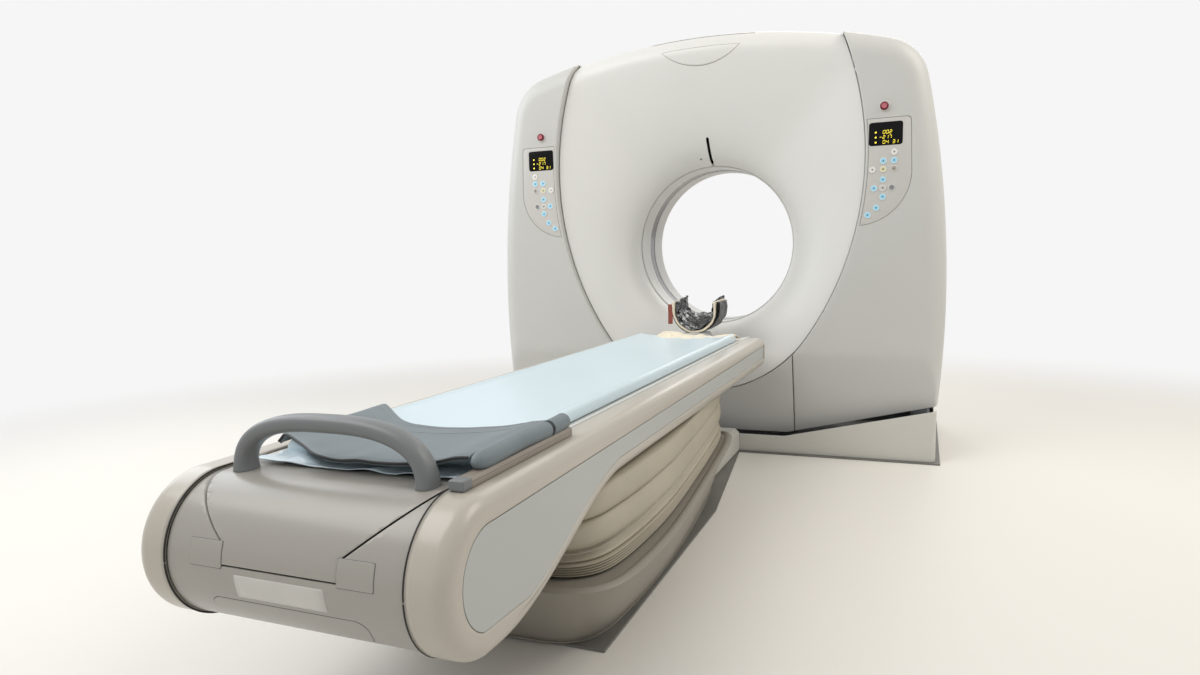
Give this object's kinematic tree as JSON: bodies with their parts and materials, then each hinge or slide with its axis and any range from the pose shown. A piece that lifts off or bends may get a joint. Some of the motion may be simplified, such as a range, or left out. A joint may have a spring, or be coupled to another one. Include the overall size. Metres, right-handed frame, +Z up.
{
  "type": "ct scanner",
  "caption": "Tilting ring scanner with a sculpted funnel opening, key panels and stop buttons, and a lifting patient couch with bellows, sliding tabletop, mat and head holder.",
  "frame": {"origin": "on the floor, on the underside of the floor plate, straight below the centre of the scan plane", "axes": "+Z up, +X to the right when facing the opening from the couch, +Y from the couch through the opening"},
  "size_m": [1.97, 3.3547, 1.786],
  "materials": {
    "floor_dark": "satin",
    "steel_frame": "satin",
    "machined": "satin",
    "motor_case": "satin",
    "plinth_white": "satin",
    "cover_white": "satin",
    "cover_grey": "satin",
    "liner_grey": "matt",
    "window_dark": "matt",
    "panel_white": "satin",
    "display_black": "gloss",
    "belt_black": "matt",
    "rotor_metal": "satin",
    "slip_copper": "satin",
    "tank_grey": "satin",
    "stop_red": "satin",
    "key_blue": "satin",
    "key_white": "satin",
    "key_grey": "satin",
    "base_taupe": "satin",
    "bellows_cream": "matt",
    "couch_greige": "gloss",
    "inlay_blue": "satin",
    "end_taupe": "satin",
    "grip_grey": "satin",
    "top_carbon": "satin",
    "mat_ice": "satin",
    "pad_dark": "satin",
    "holder_cream": "matt"
  },
  "bodies": {
    "stand": {"floor_plate": "floor_dark", "stand_frame": "steel_frame", "tilt_motor": "motor_case", "plinth_left": "plinth_white", "plinth_right": "plinth_white", "plinth_centre": "plinth_white", "couch_base_cover": "base_taupe", "bellows": "bellows_cream", "lift_columns": "machined"},
    "gantry": {"tilt_frame": "steel_frame", "tilt_sector": "machined", "front_cover": "cover_white", "rear_cover": "cover_white", "top_cover": "cover_white", "tower_left": "cover_grey", "tower_right": "cover_grey", "lower_front_cover": "cover_grey", "bore_liner": "liner_grey", "scan_window": "window_dark", "control_panel_left": "panel_white", "control_panel_right": "panel_white", "displays": "display_black", "drive_motor": "motor_case", "drive_belt": "belt_black", "brush_block": "motor_case"},
    "rotor": {"rotor_ring": "rotor_metal", "slip_ring": "slip_copper", "xray_tube": "tank_grey", "collimator": "steel_frame", "detector": "motor_case", "generator": "tank_grey"},
    "drive_pulley": {"drive_pulley": "machined"},
    "tilt_pinion": {"tilt_pinion": "machined"},
    "couch": {"lift_rams": "machined", "couch_frame": "steel_frame", "side_cover_left": "couch_greige", "side_cover_right": "couch_greige", "side_inlays": "inlay_blue", "end_cover": "end_taupe", "end_hatch": "end_taupe", "grip": "grip_grey"},
    "tabletop": {"tabletop": "top_carbon", "mat": "mat_ice", "foot_pad": "pad_dark", "head_holder": "holder_cream"},
    "estop_left": {"estop_left": "stop_red"},
    "estop_right": {"estop_right": "stop_red"},
    "key_scan_up": {"key_scan_up": "key_white"},
    "key_mark_in": {"key_mark_in": "key_blue"},
    "key_mark_out": {"key_mark_out": "key_blue"},
    "key_home": {"key_home": "key_white"},
    "key_lamp": {"key_lamp": "key_white"},
    "key_clear": {"key_clear": "key_grey"},
    "key_up": {"key_up": "key_blue"},
    "key_left": {"key_left": "key_blue"},
    "key_centre": {"key_centre": "key_grey"},
    "key_right": {"key_right": "key_grey"},
    "key_down": {"key_down": "key_blue"},
    "key_tilt": {"key_tilt": "key_blue"},
    "key_free": {"key_free": "key_blue"}
  },
  "joints": [
    {"name": "gantry_tilt", "type": "hinge", "parent": "stand", "child": "gantry", "pos_m": [0, 0, 0.9], "axis": [1, 0, 0], "range_deg": [-8, 30]},
    {"name": "tilt_pinion_turn", "type": "hinge", "parent": "stand", "child": "tilt_pinion", "pos_m": [-0.856, 0, 0.552], "axis": [1, 0, 0], "range_deg": [-187.5, 50]},
    {"name": "rotor_spin", "type": "hinge", "parent": "gantry", "child": "rotor", "pos_m": [0, 0, 0.9], "axis": [0, 1, 0], "continuous": true},
    {"name": "drive_pulley_spin", "type": "hinge", "parent": "gantry", "child": "drive_pulley", "pos_m": [0.6, 0.08, 0.28], "axis": [0, 1, 0], "continuous": true},
    {"name": "couch_lift", "type": "slide", "parent": "stand", "child": "couch", "axis": [0, 0, 1], "range_m": [0, 0.32], "deforming": ["bellows"]},
    {"name": "tabletop_slide", "type": "slide", "parent": "couch", "child": "tabletop", "axis": [0, 1, 0], "range_m": [0, 0.576]},
    {"name": "estop_left_push", "type": "slide", "parent": "gantry", "child": "estop_left", "axis": [0, 1, 0], "range_m": [0, 0.003], "stiffness_N_per_m": 6000},
    {"name": "estop_right_push", "type": "slide", "parent": "gantry", "child": "estop_right", "axis": [0, 1, 0], "range_m": [0, 0.003], "stiffness_N_per_m": 6000},
    {"name": "key_scan_up_push", "type": "slide", "parent": "gantry", "child": "key_scan_up", "axis": [0, 1, 0], "range_m": [0, 0.0015], "stiffness_N_per_m": 1500},
    {"name": "key_mark_in_push", "type": "slide", "parent": "gantry", "child": "key_mark_in", "axis": [0, 1, 0], "range_m": [0, 0.0015], "stiffness_N_per_m": 1500},
    {"name": "key_mark_out_push", "type": "slide", "parent": "gantry", "child": "key_mark_out", "axis": [0, 1, 0], "range_m": [0, 0.0015], "stiffness_N_per_m": 1500},
    {"name": "key_home_push", "type": "slide", "parent": "gantry", "child": "key_home", "axis": [0, 1, 0], "range_m": [0, 0.0015], "stiffness_N_per_m": 1500},
    {"name": "key_lamp_push", "type": "slide", "parent": "gantry", "child": "key_lamp", "axis": [0, 1, 0], "range_m": [0, 0.0015], "stiffness_N_per_m": 1500},
    {"name": "key_clear_push", "type": "slide", "parent": "gantry", "child": "key_clear", "axis": [0, 1, 0], "range_m": [0, 0.0015], "stiffness_N_per_m": 1500},
    {"name": "key_up_push", "type": "slide", "parent": "gantry", "child": "key_up", "axis": [0, 1, 0], "range_m": [0, 0.0015], "stiffness_N_per_m": 1500},
    {"name": "key_left_push", "type": "slide", "parent": "gantry", "child": "key_left", "axis": [0, 1, 0], "range_m": [0, 0.0015], "stiffness_N_per_m": 1500},
    {"name": "key_centre_push", "type": "slide", "parent": "gantry", "child": "key_centre", "axis": [0, 1, 0], "range_m": [0, 0.0015], "stiffness_N_per_m": 1500},
    {"name": "key_right_push", "type": "slide", "parent": "gantry", "child": "key_right", "axis": [0, 1, 0], "range_m": [0, 0.0015], "stiffness_N_per_m": 1500},
    {"name": "key_down_push", "type": "slide", "parent": "gantry", "child": "key_down", "axis": [0, 1, 0], "range_m": [0, 0.0015], "stiffness_N_per_m": 1500},
    {"name": "key_tilt_push", "type": "slide", "parent": "gantry", "child": "key_tilt", "axis": [0, 1, 0], "range_m": [0, 0.0015], "stiffness_N_per_m": 1500},
    {"name": "key_free_push", "type": "slide", "parent": "gantry", "child": "key_free", "axis": [0, 1, 0], "range_m": [0, 0.0015], "stiffness_N_per_m": 1500}
  ],
  "couplings": [
    {"joint": "tilt_pinion_turn", "follows": "gantry_tilt", "ratio": -6.25},
    {"joint": "drive_pulley_spin", "follows": "rotor_spin", "ratio": 12.725},
    {"joint": "tabletop_slide", "follows": "couch_lift", "ratio": 1.8}
  ]
}
